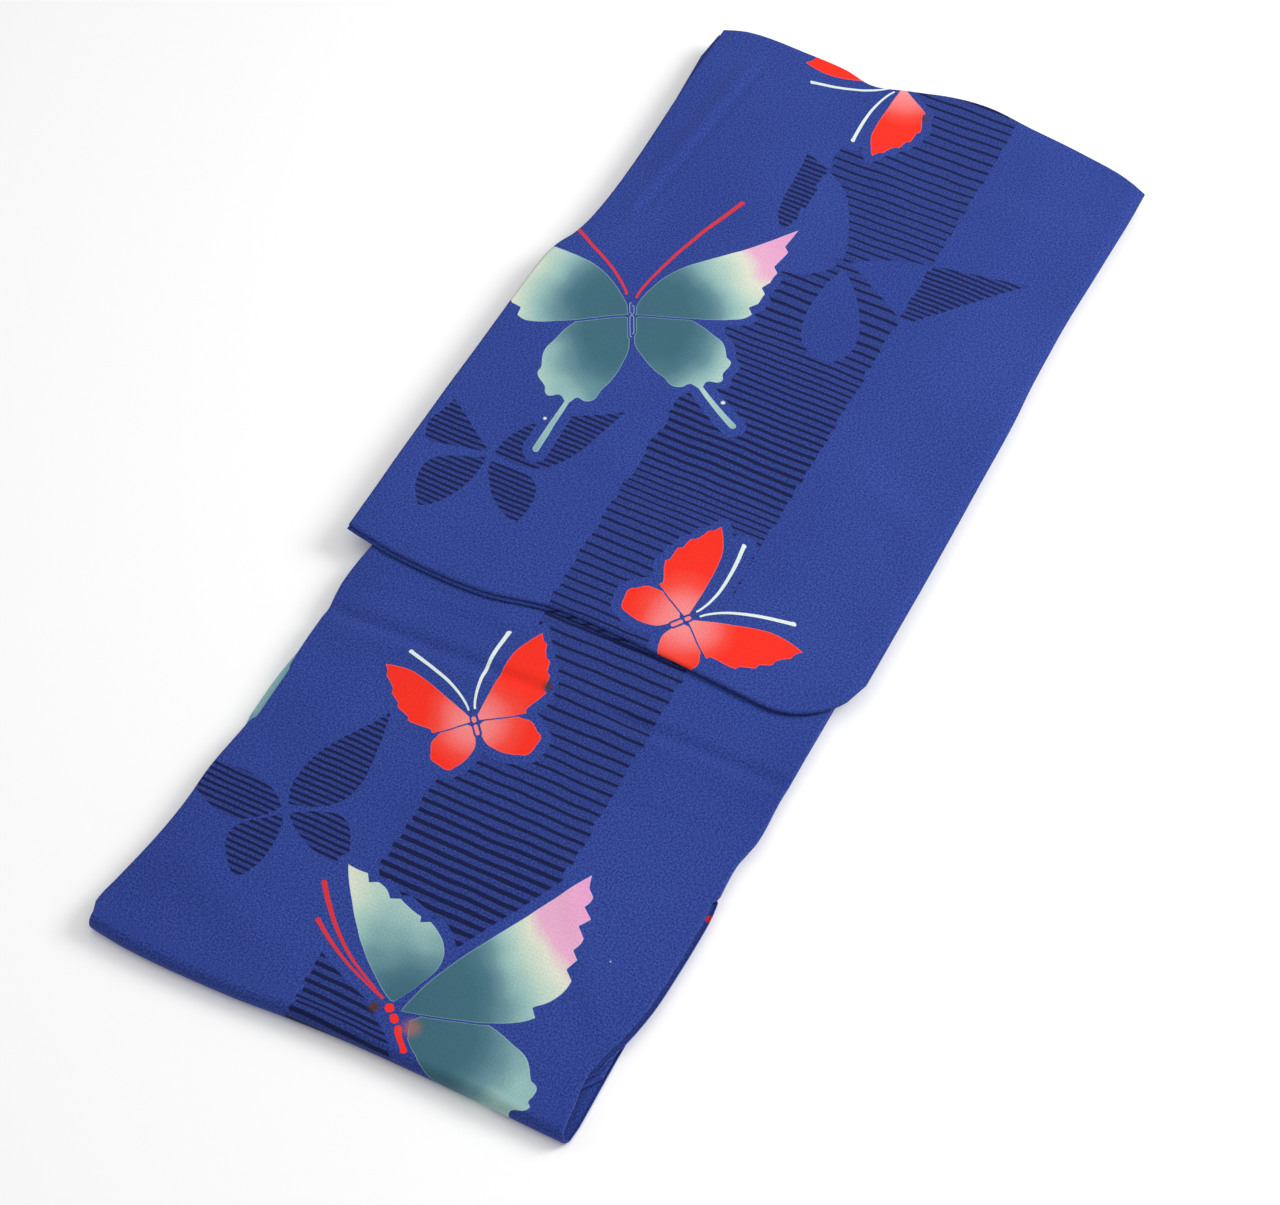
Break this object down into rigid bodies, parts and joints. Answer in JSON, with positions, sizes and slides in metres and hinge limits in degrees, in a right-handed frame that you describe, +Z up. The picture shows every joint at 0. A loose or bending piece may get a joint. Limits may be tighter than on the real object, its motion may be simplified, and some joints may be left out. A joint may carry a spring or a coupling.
{
  "type": "folded cotton yukata robe",
  "caption": "Woman's summer cotton yukata folded flat, sleeve on top, cobalt blue with butterflies and bands of fine dark lines.",
  "frame": {"origin": "under the middle of the folded bundle, on the surface it rests on", "axes": "+X towards the centre-back fold, +Y along the bundle towards the shoulders, +Z up"},
  "size_m": [0.3439, 0.8422, 0.0197],
  "materials": {
    "left_sleeve": "plain-woven cotton, dull, printed with butterflies and bands of dark lines",
    "left_body_panel": "plain-woven cotton, dull, printed with butterflies and bands of dark lines",
    "right_body_panel": "plain-woven cotton, dull, printed",
    "right_sleeve": "plain-woven cotton, dull, printed",
    "folded_layers": "plain-woven cotton, dull",
    "collar": "plain-woven cotton, dull",
    "over_collar": "plain-woven cotton, dull, printed"
  },
  "bodies": {
    "root": {"left_sleeve": "left_sleeve", "left_body_panel": "left_body_panel", "right_body_panel": "right_body_panel", "right_sleeve": "right_sleeve", "folded_layers": "folded_layers", "collar": "collar", "over_collar": "over_collar"}
  },
  "joints": []
}
